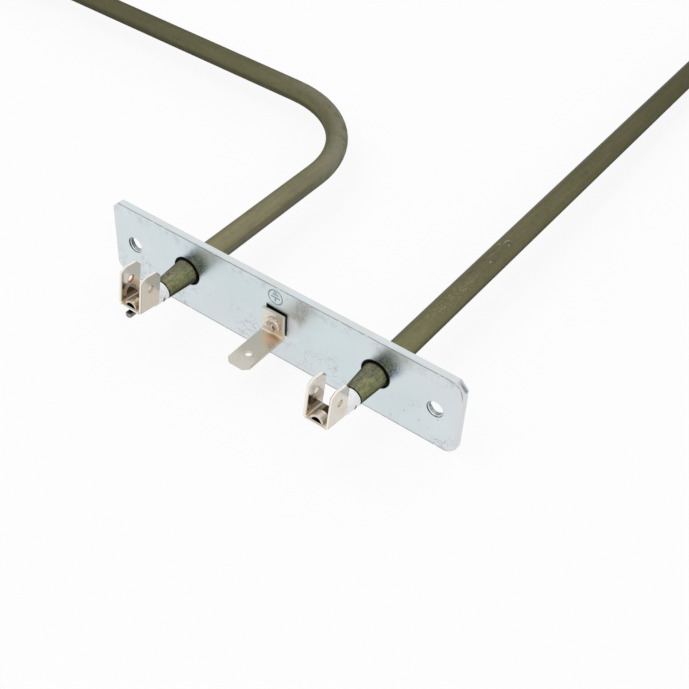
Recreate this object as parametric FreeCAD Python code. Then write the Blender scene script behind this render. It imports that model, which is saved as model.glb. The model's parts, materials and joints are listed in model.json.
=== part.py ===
import FreeCAD, Part
import math
import os

# Tubular heating element on a steel flange plate, in millimetres.
# X runs along the plate, +Y goes from the terminal side towards the heated loop, and +Z is up.
# The origin is midway between the two fixing holes, on the plate's terminal side.

# Flange plate
plate_length = 100.0
plate_height = 21.6
plate_thickness = 1.75
plate_corner_cut = 2.1
plate_upper_corner_softening = 0.45
plate_lower_corner_softening = 2.4
plate_front_roll = 0.35
plate_back_burr = 0.15
fixing_hole_edge_distance = 6.5
fixing_hole_radius = 2.1
fixing_hole_countersink = 0.1
tube_hole_radius = 3.75
tube_hole_roll = 0.3

# Heated loop, along the middle line of the tube
leg_spacing = 54.7
leg_offset_x = 0.4
leg_height = 0.7
front_run_distance = 78.8
loop_width = 220.0
loop_depth = 201.2
bend_radius = 28.5

# Sheath of the tube
tube_radius = 3.0
tube_wall = 0.6
stub_length = 8.8
stub_tip_radius = 2.5
stub_tip_wall = 0.5
stub_root_radius = 3.2
stub_seat_depth = 0.55
stub_mouth_softening = 0.2
bead_radius = 4.3
bead_length = 1.2
bead_taper = 1.6

# Pieces sealed in the tube
coil_radius = 1.35
pin_radius = 0.9
pin_reach_outside = {"left": 20.0, "right": 19.3}
pin_reach_inside = 34.0
coil_overlap_on_pin = 6.0
pin_end_chamfer = 0.25
seal_length = 2.6

# Ceramic end insulators
insulator_spigot_length = 2.4
insulator_collar_radius = 2.45
insulator_collar_length = 1.7
insulator_nose_radius = 2.3
insulator_nose_length = 2.1
insulator_groove_width = 0.3
insulator_groove_depth = 0.25
insulator_edge_round = 0.3

# Double tab terminals, folded from strip
strip_thickness = 0.8
tab_width = 6.3
terminal_width = 6.8
terminal_height = 9.7
terminal_inner_bend = 0.25
terminal_outer_bend = 0.85
tab_front_cut_along = 1.6
tab_front_cut_down = 1.0
tab_back_cut = 1.45
tab_corner_round = 0.8
tab_edge_bevel = 0.2
tab_hole_radius = 0.9
tab_hole_from_front = 3.1
tab_hole_from_base = 5.95
bridge_half_width = 1.8
bridge_rise = 1.45
bridge_sheet = 0.5
bridge_from_front = 0.35
bridge_length = 2.2
bridge_floor = 0.3
fold_notch_radius = 0.3
terminal_tilt = 7.5
terminal_underside = 1.4
terminal_reach = {"left": 19.5, "right": 21.2}
terminal_shift = {"left": 0.2, "right": -0.5}

# Earth tab and its rivet
earth_blade_length = 14.4
earth_blade_top = -2.5
earth_upright_top = 3.8
earth_inner_bend = 0.3
earth_stand_off = 0.45
earth_tip_cut = 1.2
earth_tip_round = 0.6
earth_tip_bevel = 0.2
earth_hole_radius = 0.87
earth_hole_from_tip = 4.6
rivet_x = 0.15
rivet_z = 0.3
rivet_shank_radius = 1.4
rivet_collar_radius = 2.1
rivet_head_radius = 2.1
rivet_head_height = 0.75
rivet_head_round = 0.45
rivet_dimple_radius = 1.0
rivet_dimple_depth = 0.35
rivet_tail_radius = 2.4
rivet_tail_height = 0.6
rivet_tail_round = 0.3

# Places worked out from the sizes above
fixing_hole_x = plate_length / 2 - fixing_hole_edge_distance
leg_x = {
    "left": leg_offset_x - leg_spacing / 2,
    "right": leg_offset_x + leg_spacing / 2,
}
loop_left_x = leg_x["right"] - loop_width
loop_back_y = front_run_distance + loop_depth
tube_bore_radius = tube_radius - tube_wall
tip_bore_radius = stub_tip_radius - stub_tip_wall
taper_start_y = plate_thickness + bead_length + bead_taper
spigot_inner_y = insulator_spigot_length - stub_length
seal_inner_y = spigot_inner_y + seal_length
coil_end_y = pin_reach_inside - coil_overlap_on_pin


def vec(x, y, z):
    return FreeCAD.Vector(x, y, z)


def loop_wire(start_y):
    """Middle line of the tube, as straight runs joined by tangent arcs."""
    corners = [
        vec(leg_x["left"], start_y, leg_height),
        vec(leg_x["left"], front_run_distance, leg_height),
        vec(loop_left_x, front_run_distance, leg_height),
        vec(loop_left_x, loop_back_y, leg_height),
        vec(leg_x["right"], loop_back_y, leg_height),
        vec(leg_x["right"], start_y, leg_height),
    ]
    edges = []
    last = corners[0]
    for before, corner, after in zip(corners, corners[1:], corners[2:]):
        incoming = (corner - before).normalize()
        outgoing = (after - corner).normalize()
        turn = incoming.getAngle(outgoing)
        setback = bend_radius * math.tan(turn / 2)
        arc_start = corner - incoming * setback
        arc_end = corner + outgoing * setback
        inward = (outgoing - incoming).normalize()
        to_centre = bend_radius / math.cos(turn / 2)
        arc_middle = corner + inward * (to_centre - bend_radius)
        edges.append(Part.LineSegment(last, arc_start).toShape())
        edges.append(Part.Arc(arc_start, arc_middle, arc_end).toShape())
        last = arc_end
    edges.append(Part.LineSegment(last, corners[-1]).toShape())
    return Part.Wire(edges)


def rod_along_loop(radius, start_y):
    """Round rod that follows the loop between its two legs."""
    path = loop_wire(start_y)
    start = vec(leg_x["left"], start_y, leg_height)
    section = Part.Face(Part.Wire(Part.makeCircle(radius, start, vec(0, 1, 0))))
    return path.makePipe(section)


def turned_on_leg(side, profile):
    """Solid of revolution about a leg's axis, from pairs of place along Y and radius."""
    x = leg_x[side]
    points = [vec(x + radius, y, leg_height) for y, radius in profile]
    outline = Part.makePolygon(points + [points[0]])
    return Part.Face(outline).revolve(vec(x, 0, leg_height), vec(0, 1, 0), 360)


def rod_on_leg(side, radius, start_y, end_y):
    start = vec(leg_x[side], start_y, leg_height)
    return Part.makeCylinder(radius, end_y - start_y, start, vec(0, 1, 0))


def edges_at(shape, test):
    """Edges whose every vertex passes the test."""
    return [edge for edge in shape.Edges if all(test(v.Point) for v in edge.Vertexes)]


def near(a, b):
    return abs(a - b) < 1e-6


def circle_edges(shape, radius, y):
    """Round edges of one radius that lie at one distance from the plate's front."""
    circles = [edge for edge in shape.Edges if isinstance(edge.Curve, Part.Circle)]
    return [e for e in circles if near(e.Curve.Radius, radius) and near(e.Curve.Center.y, y)]


def flange_plate():
    """Punched steel plate with cut corners and a rolled front edge."""
    half_x = plate_length / 2
    half_z = plate_height / 2
    cut = plate_corner_cut
    outline = [
        vec(-half_x + cut, 0, -half_z),
        vec(half_x - cut, 0, -half_z),
        vec(half_x, 0, -half_z + cut),
        vec(half_x, 0, half_z - cut),
        vec(half_x - cut, 0, half_z),
        vec(-half_x + cut, 0, half_z),
        vec(-half_x, 0, half_z - cut),
        vec(-half_x, 0, -half_z + cut),
    ]
    blank = Part.Face(Part.makePolygon(outline + [outline[0]]))
    plate = blank.extrude(vec(0, plate_thickness, 0))
    for sign, softening in ((1, plate_upper_corner_softening), (-1, plate_lower_corner_softening)):
        half = edges_at(plate, lambda p: sign * p.z > 0)
        corners = [e for e in half if near(e.Vertexes[0].X, e.Vertexes[1].X)]
        corners = [e for e in corners if near(e.Vertexes[0].Z, e.Vertexes[1].Z)]
        plate = plate.makeFillet(softening, corners)
    plate = plate.makeFillet(plate_front_roll, edges_at(plate, lambda p: near(p.y, 0)))
    back_edges = edges_at(plate, lambda p: near(p.y, plate_thickness))
    plate = plate.makeChamfer(plate_back_burr, back_edges)
    for side in ("left", "right"):
        hole = rod_on_leg(side, tube_hole_radius, 0, plate_thickness)
        plate = plate.cut(hole)
    plate = plate.makeFillet(tube_hole_roll, circle_edges(plate, tube_hole_radius, 0))
    for x in (-fixing_hole_x, fixing_hole_x):
        drill = Part.makeCylinder(
            fixing_hole_radius, plate_thickness, vec(x, 0, 0), vec(0, 1, 0)
        )
        plate = plate.cut(drill)
    for face_y in (0, plate_thickness):
        mouths = circle_edges(plate, fixing_hole_radius, face_y)
        plate = plate.makeChamfer(fixing_hole_countersink, mouths)
    rivet_hole = Part.makeCylinder(
        rivet_shank_radius, plate_thickness, vec(rivet_x, 0, rivet_z), vec(0, 1, 0)
    )
    return plate.cut(rivet_hole)


def sheath_end(side):
    """Upset end of the sheath: bead behind the plate, plug in its hole and tapered stub."""
    return turned_on_leg(side, [
        (-stub_length, 0),
        (-stub_length, stub_tip_radius - stub_mouth_softening),
        (-stub_length + stub_mouth_softening, stub_tip_radius),
        (stub_seat_depth, stub_root_radius),
        (stub_seat_depth, tube_hole_radius),
        (plate_thickness, tube_hole_radius),
        (plate_thickness, bead_radius),
        (plate_thickness + bead_length, bead_radius),
        (taper_start_y, tube_radius),
        (taper_start_y, 0),
    ])


def bore_radius_at(y):
    """Inner radius of the stub, which narrows evenly from the plate to its mouth."""
    slope = (tube_bore_radius - tip_bore_radius) / stub_length
    return tip_bore_radius + slope * (y + stub_length)


def sheath_bore(start_y):
    """Space inside the sheath, from one place on both stubs."""
    bore = rod_along_loop(tube_bore_radius, plate_thickness)
    for side in ("left", "right"):
        mouth = turned_on_leg(side, [
            (start_y, 0),
            (start_y, bore_radius_at(start_y)),
            (0, tube_bore_radius),
            (plate_thickness, tube_bore_radius),
            (plate_thickness, 0),
        ])
        bore = bore.fuse(mouth)
    return bore.removeSplitter()


def heater_sheath():
    """Seamless alloy tube, bent to the loop and swaged at its two ends."""
    body = rod_along_loop(tube_radius, taper_start_y)
    for side in ("left", "right"):
        body = body.fuse(sheath_end(side))
    return body.removeSplitter().cut(sheath_bore(-stub_length))


def resistance_coil():
    """Envelope of the winding, with a socket at each end that holds a pin."""
    coil = rod_along_loop(coil_radius, coil_end_y)
    for side in ("left", "right"):
        coil = coil.cut(rod_on_leg(side, pin_radius, coil_end_y, pin_reach_inside))
    return coil


def insulation_fill():
    """Packed powder between the sheath and the winding, up to the end seals."""
    fill = sheath_bore(seal_inner_y)
    fill = fill.cut(rod_along_loop(coil_radius, coil_end_y))
    for side in ("left", "right"):
        fill = fill.cut(rod_on_leg(side, pin_radius, seal_inner_y, coil_end_y))
    return fill


def terminal_placement(side):
    """Where a terminal's front lower edge sits, and how it leans back over its pin."""
    place = vec(
        leg_x[side] + terminal_shift[side],
        -terminal_reach[side],
        leg_height + terminal_underside,
    )
    lean = FreeCAD.Rotation(vec(1, 0, 0), -terminal_tilt)
    return FreeCAD.Placement(place, lean)


def cold_pin(side):
    """Steel pin from the winding to its terminal, pressed flat where the terminal is welded."""
    outer_end = -pin_reach_outside[side]
    pin = rod_on_leg(side, pin_radius, outer_end, pin_reach_inside)
    ends = circle_edges(pin, pin_radius, outer_end)
    pin = pin.makeChamfer(pin_end_chamfer, ends)
    above_base = Part.makeBox(
        terminal_width, tab_width, terminal_height, vec(-terminal_width / 2, 0, 0)
    )
    above_base.Placement = terminal_placement(side)
    return pin.cut(above_base)


def end_seal(side):
    """Soft ring that closes the sheath behind the insulator."""
    return turned_on_leg(side, [
        (spigot_inner_y, pin_radius),
        (spigot_inner_y, bore_radius_at(spigot_inner_y)),
        (seal_inner_y, bore_radius_at(seal_inner_y)),
        (seal_inner_y, pin_radius),
    ])


def insulator(side):
    """Ceramic bush: a spigot in the sheath's mouth, a collar, a groove and a nose."""
    collar_end = -stub_length - insulator_collar_length
    nose_end = collar_end - insulator_nose_length
    groove_floor = insulator_nose_radius - insulator_groove_depth
    bush = turned_on_leg(side, [
        (spigot_inner_y, pin_radius),
        (spigot_inner_y, tip_bore_radius),
        (-stub_length, tip_bore_radius),
        (-stub_length, insulator_collar_radius),
        (collar_end + insulator_groove_width, insulator_collar_radius),
        (collar_end + insulator_groove_width / 2, groove_floor),
        (collar_end, insulator_nose_radius),
        (nose_end, insulator_nose_radius),
        (nose_end, pin_radius),
    ])
    rims = circle_edges(bush, insulator_nose_radius, nose_end)
    return bush.makeFillet(insulator_edge_round, rims)


def round_corner(x, z, bend):
    """Arc that rounds the lower corner of an upright rectangle, from its side to its floor."""
    inward = math.copysign(bend, -x)
    diagonal = 1 - math.sqrt(0.5)
    side = vec(x, 0, z + bend)
    middle = vec(x + inward * diagonal, 0, z + bend * diagonal)
    floor = vec(x + inward, 0, z)
    return side, middle, floor


def channel_outline():
    """Closed outline of the folded strip, a U that is open at the top."""
    outside = terminal_width / 2
    inside = outside - strip_thickness
    top = terminal_height
    left_out = round_corner(-outside, 0, terminal_outer_bend)
    right_out = round_corner(outside, 0, terminal_outer_bend)
    left_in = round_corner(-inside, strip_thickness, terminal_inner_bend)
    right_in = round_corner(inside, strip_thickness, terminal_inner_bend)
    edges = [
        Part.LineSegment(vec(-outside, 0, top), left_out[0]),
        Part.Arc(*left_out),
        Part.LineSegment(left_out[2], right_out[2]),
        Part.Arc(*reversed(right_out)),
        Part.LineSegment(right_out[0], vec(outside, 0, top)),
        Part.LineSegment(vec(outside, 0, top), vec(inside, 0, top)),
        Part.LineSegment(vec(inside, 0, top), right_in[0]),
        Part.Arc(*right_in),
        Part.LineSegment(right_in[2], left_in[2]),
        Part.Arc(*reversed(left_in)),
        Part.LineSegment(left_in[0], vec(-inside, 0, top)),
        Part.LineSegment(vec(-inside, 0, top), vec(-outside, 0, top)),
    ]
    return Part.Wire([edge.toShape() for edge in edges])


def lanced_bridge(base):
    """Base with a narrow strip pushed up into an arch, and weld metal in the slot below."""
    arch_radius = (bridge_half_width ** 2 + bridge_rise ** 2) / (2 * bridge_rise)
    axis_z = strip_thickness + bridge_rise - arch_radius
    start = vec(0, bridge_from_front, axis_z)
    arch = Part.makeCylinder(arch_radius, bridge_length, start, vec(0, 1, 0))
    hollow = Part.makeCylinder(arch_radius - bridge_sheet, bridge_length, start, vec(0, 1, 0))
    above = Part.makeBox(
        2 * arch_radius,
        bridge_length,
        2 * arch_radius,
        vec(-arch_radius, bridge_from_front, bridge_floor),
    )
    return base.fuse(arch.common(above)).cut(hollow.common(above))


def tab_profile():
    """Side view of both tabs, cut at the top and rounded, as a block across the terminal."""
    x = -terminal_width
    top = terminal_height
    outline = [
        vec(x, 0, 0),
        vec(x, tab_width, 0),
        vec(x, tab_width, top - tab_back_cut),
        vec(x, tab_width - tab_back_cut, top),
        vec(x, tab_front_cut_along, top),
        vec(x, 0, top - tab_front_cut_down),
    ]
    block = Part.Face(Part.makePolygon(outline + [outline[0]]))
    block = block.extrude(vec(2 * terminal_width, 0, 0))
    upper = edges_at(block, lambda p: p.z > top / 2)
    corners = [e for e in upper if not near(e.Vertexes[0].X, e.Vertexes[1].X)]
    return block.makeFillet(tab_corner_round, corners)


def fold_notches():
    """Small relief cuts at the front ends of the two folds."""
    notches = []
    for x in (-terminal_width / 2, terminal_width / 2):
        outward = vec(math.copysign(1, x), 0, -1).normalize()
        start = vec(x, 0, 0) - outward * (2 * strip_thickness)
        notches.append(Part.makeCylinder(fold_notch_radius, 3 * strip_thickness, start, outward))
    return notches


def terminal(side):
    """Double tab folded from one strip: two upright tabs joined by a base."""
    channel = Part.Face(channel_outline()).extrude(vec(0, tab_width, 0))
    channel = channel.common(tab_profile())
    shoulder = terminal_height - tab_back_cut - tab_corner_round
    rims = edges_at(channel, lambda p: p.z > shoulder)
    rims = [e for e in rims if near(e.Vertexes[0].X, e.Vertexes[1].X)]
    channel = channel.makeChamfer(tab_edge_bevel, rims)
    hole = Part.makeCylinder(
        tab_hole_radius,
        2 * terminal_width,
        vec(-terminal_width, tab_hole_from_front, tab_hole_from_base),
        vec(1, 0, 0),
    )
    channel = lanced_bridge(channel.cut([hole] + fold_notches()))
    channel.Placement = terminal_placement(side)
    return channel


def earth_tab():
    """Angle folded from strip: an upright held by the rivet and a blade with a cut tip."""
    half = tab_width / 2
    back_y = -earth_stand_off
    front_y = back_y - strip_thickness
    blade_bottom = earth_blade_top - strip_thickness
    outer_bend = earth_inner_bend + strip_thickness
    centre = vec(-half, front_y - earth_inner_bend, earth_blade_top + earth_inner_bend)
    diagonal = math.sqrt(0.5)

    def on_fold(bend):
        start = centre + vec(0, bend, 0)
        middle = centre + vec(0, bend * diagonal, -bend * diagonal)
        end = centre + vec(0, 0, -bend)
        return start, middle, end

    outer = on_fold(outer_bend)
    inner = on_fold(earth_inner_bend)
    top_back = vec(-half, back_y, earth_upright_top)
    top_front = vec(-half, front_y, earth_upright_top)
    tip_low = vec(-half, -earth_blade_length, blade_bottom)
    tip_high = vec(-half, -earth_blade_length, earth_blade_top)
    edges = [
        Part.LineSegment(top_back, outer[0]),
        Part.Arc(*outer),
        Part.LineSegment(outer[2], tip_low),
        Part.LineSegment(tip_low, tip_high),
        Part.LineSegment(tip_high, inner[2]),
        Part.Arc(*reversed(inner)),
        Part.LineSegment(inner[0], top_front),
        Part.LineSegment(top_front, top_back),
    ]
    section = Part.Face(Part.Wire([edge.toShape() for edge in edges]))
    angle = section.extrude(vec(tab_width, 0, 0))
    tip_corners = [
        e for e in edges_at(angle, lambda p: near(p.y, -earth_blade_length))
        if not near(e.Vertexes[0].Z, e.Vertexes[1].Z)
    ]
    angle = angle.makeChamfer(earth_tip_cut, tip_corners)
    tip_start = -earth_blade_length + earth_tip_cut
    on_tip = edges_at(angle, lambda p: p.y < tip_start + earth_tip_round)
    corners = [e for e in on_tip if not near(e.Vertexes[0].Z, e.Vertexes[1].Z)]
    angle = angle.makeFillet(earth_tip_round, corners)
    on_tip = edges_at(angle, lambda p: p.y < tip_start + earth_tip_round)
    rims = [e for e in on_tip if near(e.Vertexes[0].Z, e.Vertexes[1].Z)]
    angle = angle.makeChamfer(earth_tip_bevel, rims)
    hole_y = -earth_blade_length + earth_hole_from_tip
    blade_hole = Part.makeCylinder(
        earth_hole_radius, strip_thickness, vec(0, hole_y, blade_bottom), vec(0, 0, 1)
    )
    rivet_hole = Part.makeCylinder(
        rivet_shank_radius, strip_thickness, vec(rivet_x, front_y, rivet_z), vec(0, 1, 0)
    )
    return angle.cut(blade_hole).cut(rivet_hole)


def earth_rivet():
    """Shouldered rivet: rolled head, shank, stand-off collar and tail behind the plate."""
    tab_front = -earth_stand_off - strip_thickness
    head_top = tab_front - rivet_head_height
    tail_end = plate_thickness + rivet_tail_height
    profile = [
        (head_top + rivet_dimple_depth, 0),
        (head_top, rivet_dimple_radius),
        (head_top, rivet_head_radius),
        (tab_front, rivet_head_radius),
        (tab_front, rivet_shank_radius),
        (-earth_stand_off, rivet_shank_radius),
        (-earth_stand_off, rivet_collar_radius),
        (0, rivet_collar_radius),
        (0, rivet_shank_radius),
        (plate_thickness, rivet_shank_radius),
        (plate_thickness, rivet_tail_radius),
        (tail_end, rivet_tail_radius),
        (tail_end, 0),
    ]
    points = [vec(rivet_x + radius, y, rivet_z) for y, radius in profile]
    outline = Part.makePolygon(points + [points[0]])
    rivet = Part.Face(outline).revolve(vec(rivet_x, 0, rivet_z), vec(0, 1, 0), 360)
    head_rim = circle_edges(rivet, rivet_head_radius, head_top)
    rivet = rivet.makeFillet(rivet_head_round, head_rim)
    tail_rim = circle_edges(rivet, rivet_tail_radius, tail_end)
    return rivet.makeFillet(rivet_tail_round, tail_rim)


def main():
    os.makedirs("parts", exist_ok=True)
    pieces = {
        "flange_plate": flange_plate(),
        "heater_sheath": heater_sheath(),
        "insulation_fill": insulation_fill(),
        "resistance_coil": resistance_coil(),
        "earth_tab": earth_tab(),
        "earth_rivet": earth_rivet(),
    }
    for side in ("left", "right"):
        pieces["cold_pin_" + side] = cold_pin(side)
        pieces["end_seal_" + side] = end_seal(side)
        pieces["insulator_" + side] = insulator(side)
        pieces["terminal_" + side] = terminal(side)
    for name, shape in pieces.items():
        shape.exportStep(os.path.join("parts", name + ".step"))
        print(name, "solids", len(shape.Solids), "valid", shape.isValid(), round(shape.Volume, 2))


main()
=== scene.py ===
import json
import math
import bmesh
import bpy
from mathutils import Matrix, Vector

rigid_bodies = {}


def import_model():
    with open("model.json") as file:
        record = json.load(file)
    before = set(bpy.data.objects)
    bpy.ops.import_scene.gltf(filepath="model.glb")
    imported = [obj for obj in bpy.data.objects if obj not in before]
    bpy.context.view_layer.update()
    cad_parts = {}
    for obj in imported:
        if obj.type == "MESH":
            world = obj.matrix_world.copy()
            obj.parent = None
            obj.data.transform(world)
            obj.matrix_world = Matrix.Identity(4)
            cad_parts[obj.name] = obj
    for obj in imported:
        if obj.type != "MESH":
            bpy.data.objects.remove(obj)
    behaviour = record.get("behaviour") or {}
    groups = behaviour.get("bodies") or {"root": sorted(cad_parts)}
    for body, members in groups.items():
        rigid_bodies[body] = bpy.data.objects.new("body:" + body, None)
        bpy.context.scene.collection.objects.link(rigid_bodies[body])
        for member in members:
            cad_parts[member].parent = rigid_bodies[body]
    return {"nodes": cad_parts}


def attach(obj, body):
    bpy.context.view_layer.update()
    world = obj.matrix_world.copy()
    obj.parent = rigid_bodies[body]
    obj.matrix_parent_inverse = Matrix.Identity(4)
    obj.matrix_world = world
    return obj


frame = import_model()
nodes = frame["nodes"]

# Blender's start-up cube, lamp and camera go
for thing in list(bpy.context.scene.objects):
    if thing.name not in nodes and not thing.name.startswith("body:"):
        bpy.data.objects.remove(thing)
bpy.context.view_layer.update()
print("frame loaded,", len(nodes), "nodes")

mm = 0.001


# shader maths: a socket with plain arithmetic on it

class Flow:
    def __init__(self, tree, socket=None):
        self.tree = tree
        self.socket = socket

    # any node: its settings first, then what goes into its sockets
    def add(self, kind, settings=None, values=None, output=0):
        node = self.tree.nodes.new(kind)
        for name, value in (settings or {}).items():
            setattr(node, name, value)
        for name, value in (values or {}).items():
            if isinstance(value, Flow):
                self.tree.links.new(value.socket, node.inputs[name])
            else:
                node.inputs[name].default_value = value
        return Flow(self.tree, node.outputs[output] if node.outputs else None)

    def maths(self, operation, *values):
        return self.add("ShaderNodeMath", {"operation": operation}, dict(enumerate(values)))

    def __add__(self, other):
        return self.maths("ADD", self, other)

    def __sub__(self, other):
        return self.maths("SUBTRACT", self, other)

    def __rsub__(self, other):
        return self.maths("SUBTRACT", other, self)

    def __mul__(self, other):
        return self.maths("MULTIPLY", self, other)

    __radd__ = __add__
    __rmul__ = __mul__

    def least(self, other):
        return self.maths("MINIMUM", self, other)

    def most(self, other):
        return self.maths("MAXIMUM", self, other)

    # its amount without its sign
    def size(self):
        return self.maths("ABSOLUTE", self)

    def root(self):
        return self.maths("SQRT", self)

    def over(self, value):
        return self.maths("GREATER_THAN", self, value)

    def parts(self):
        node = self.add("ShaderNodeSeparateXYZ", {}, {0: self}).socket.node
        return [Flow(self.tree, output) for output in node.outputs]

    # soft step from 0 at one value to 1 at the other
    def rise(self, low, high):
        settings = {"interpolation_type": "SMOOTHSTEP"}
        return self.add("ShaderNodeMapRange", settings, {0: self, 1: low, 2: high})

    def noise(self, place, scale, detail=3.0, roughness=0.5):
        values = {"Vector": place, "Scale": scale, "Detail": detail, "Roughness": roughness}
        return self.add("ShaderNodeTexNoise", {}, values)

    def cells(self, place, scale):
        return self.add("ShaderNodeTexVoronoi", {}, {"Vector": place, "Scale": scale})

    # the colour sockets go by number, because their names repeat
    def mixed(self, amount, first, second):
        settings = {"data_type": "RGBA"}
        return self.add("ShaderNodeMix", settings, {0: amount, 6: first, 7: second}, 2)

    def joined(self, x, y, z):
        return self.add("ShaderNodeCombineXYZ", {}, {0: x, 1: y, 2: z})

    def bump(self, height, strength, distance):
        values = {"Height": height, "Strength": strength, "Distance": distance}
        return self.add("ShaderNodeBump", {}, values)


# distance from a point, of two flows
def away(a, b, middleA, middleB):
    a = a - middleA
    b = b - middleB
    return (a * a + b * b).root()


# 1 inside a round spot, 0 outside it
def spot(a, b, middleA, middleB, radius):
    return 1.0 - away(a, b, middleA, middleB).rise(radius * 0.6, radius * 1.3)


# 1 inside a short bowed scuff turned by an angle, 0 outside it
def streak(a, b, middleA, middleB, turn, half, thick):
    a = a - middleA
    b = b - middleB
    along = a * math.cos(turn) + b * math.sin(turn)
    aside = b * math.cos(turn) - a * math.sin(turn) + along * along * (0.35 / half)
    along = along * (thick / half)
    return 1.0 - (along * along + aside * aside).root().rise(thick * 0.5, thick * 1.4)


def rgb(red, green, blue):
    return (red, green, blue, 1.0)


# an empty node tree on a new material or world
def emptyTree(owner):
    owner.use_nodes = True
    owner.node_tree.nodes.clear()
    return Flow(owner.node_tree)


# a new material with its flow and its place in object space
def startMaterial(name):
    material = bpy.data.materials.new(name)
    flow = emptyTree(material)
    return material, flow, flow.add("ShaderNodeTexCoord", output="Object")


def finishMaterial(flow, sockets):
    shader = flow.add("ShaderNodeBsdfPrincipled", {}, sockets)
    flow.add("ShaderNodeOutputMaterial", {}, {"Surface": shader})


def addObject(name, data):
    thing = bpy.data.objects.new(name, data)
    bpy.context.scene.collection.objects.link(thing)
    return thing


# where the tube's two legs pass through the plate

legs = {"left": -26.95 * mm, "middle": 0.4 * mm, "right": 27.75 * mm, "height": 0.7 * mm}


# place across and above the nearer leg's middle line
def fromLeg(x, z):
    onRight = x.over(legs["middle"])
    return x - legs["left"] - onRight * (legs["right"] - legs["left"]), z - legs["height"]


# bright zinc on the flange plate

zinc = {
    "tone": rgb(0.668, 0.752, 0.768),
    "lilac": rgb(0.705, 0.752, 0.775),
    "pale": rgb(0.715, 0.800, 0.815),
    "dull": rgb(0.500, 0.590, 0.620),
    "pit": rgb(0.09, 0.11, 0.12),
    "scuff": rgb(0.36, 0.36, 0.38),
    "smudge": rgb(0.45, 0.43, 0.48),
    "darkTabReflection": rgb(0.36, 0.39, 0.44),
    "edge": rgb(0.70, 0.725, 0.725),
    "crease": rgb(0.21, 0.185, 0.175),
    "stainAndReflection": (rgb(0.210, 0.250, 0.335), rgb(0.56, 0.65, 0.76)),
    "glow": rgb(0.82, 0.86, 0.91),
    "bore": rgb(0.085, 0.115, 0.115),
    "corner": rgb(0.20, 0.19, 0.25),
    "side": rgb(0.740, 0.735, 0.755),
    "shade": rgb(0.022, 0.034, 0.040),
    "roughness": 0.23,
    "halfLength": 50.0 * mm,
    "halfHeight": 10.8 * mm,
    "cornerCut": 2.1 * mm,
    "cornerRound": 2.4 * mm,
    "waviness": 0.30 * mm,
    "tubeHole": 3.75 * mm,
    "screwHole": 2.12 * mm,
    "screwX": 43.5 * mm,
    "reflectionWay": (0.59, 0.81),
    "darkTabReflectionX": 4.6 * mm,
    "glowX": 4.7 * mm,
    "tabShade": (-2.75 * mm, 3.15 * mm, -2.5 * mm, 3.70 * mm),
}


# distance from the plate's outline, less than zero inside it, with its corners rounded off
def plateOutline(x, z):
    sides = (x.size() - zinc["halfLength"]).most(z.size() - zinc["halfHeight"])
    corner = zinc["halfLength"] + zinc["halfHeight"] - zinc["cornerCut"]
    cut = (x.size() + z.size() - corner) * math.sqrt(0.5)
    return x.maths("SMOOTH_MAX", sides, cut, zinc["cornerRound"])


# shade behind the earth tab, deeper at its upper left
def tabShade(x, y, z):
    left, right, low, high = zinc["tabShade"]
    top = z - high - (right - x) * 0.13
    outside = (left - x).most(x - right).most(low - z).most(top)
    return (1.0 - outside.rise(-0.05 * mm, 0.15 * mm)) * (1.0 - y.rise(0.2 * mm, 0.4 * mm))


# small pits and worm-like scuffs, mostly on the lower half, and smudges along the top
def zincWear(flow, place, z, onFront, colour):
    low = 1.0 - z.rise(-6.0 * mm, 2.0 * mm)
    pits = 1.0 - flow.cells(place, 340.0).rise(0.04, 0.09)
    pits = pits * low.most(z.rise(5.0 * mm, 8.0 * mm)) * flow.noise(place, 130.0, 2.0).rise(0.46, 0.60)
    worms = 1.0 - (flow.noise(place, 460.0, 2.0) - 0.5).size().rise(0.006, 0.026)
    worms = worms * low * flow.noise(place, 95.0, 2.0).rise(0.47, 0.60)
    colour = flow.mixed(worms * 0.55, colour, zinc["scuff"])
    smudges = flow.noise(place, 420.0, 4.0, 0.7).rise(0.48, 0.62) * z.rise(6.6 * mm, 9.4 * mm) * onFront
    colour = flow.mixed(smudges * 0.34, colour, zinc["smudge"])
    return flow.mixed(pits * 0.75, colour, zinc["pit"]), pits, worms


# sheared edge faces, and thin wavy lines of painted shade in the crease where the front rolls over into
# the upper one and along the lower edge
def zincEdges(flow, x, y, z, clouds, coarse, onFront, colour):
    wave = (coarse - 0.5) * zinc["waviness"]
    outline = plateOutline(x, z) + wave
    rim = outline.rise(-0.30 * mm, -0.12 * mm)
    colour = flow.mixed(rim, colour, flow.mixed(clouds.rise(0.40, 0.60), zinc["edge"], zinc["lilac"]))
    side = x.size().rise(47.2 * mm, 49.4 * mm) * onFront
    colour = flow.mixed(side * 0.6, colour, zinc["side"])
    atTop = z.rise(5.5 * mm, 8.0 * mm)
    leftEnd = 1.0 - x.rise(-46.0 * mm, -40.0 * mm)
    topLine = outline * (1.0 - leftEnd) + (z - zinc["halfHeight"] + wave) * leftEnd
    crease = 1.0 - (topLine + 0.34 * mm).size().rise(0.05 * mm, 0.19 * mm)
    crease = crease * onFront * atTop * (clouds + coarse).rise(0.74, 0.92)
    lowLine = 1.0 - (z + zinc["halfHeight"] - 0.36 * mm).size().rise(0.10 * mm, 0.26 * mm)
    lowLine = lowLine * (1.0 - y.rise(0.50 * mm, 0.70 * mm)) * coarse.rise(0.30, 0.50)
    colour = flow.mixed((crease * 0.75).most(lowLine * 0.62), colour, zinc["crease"])

    # the upper right corner's cut face is darker, most in a strip along its middle
    cut = x + z - (zinc["halfLength"] + zinc["halfHeight"] - zinc["cornerCut"])
    cut = cut.rise(-0.20 * mm, 0.0) * atTop
    strip = 1.0 - (y - 0.80 * mm).size().rise(0.15 * mm, 0.50 * mm)
    strip = strip * (1.0 - z.rise(9.6 * mm, 10.9 * mm))
    colour = flow.mixed(cut * (0.25 + strip * 0.6), colour, zinc["corner"])
    return colour, rim, crease
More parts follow.
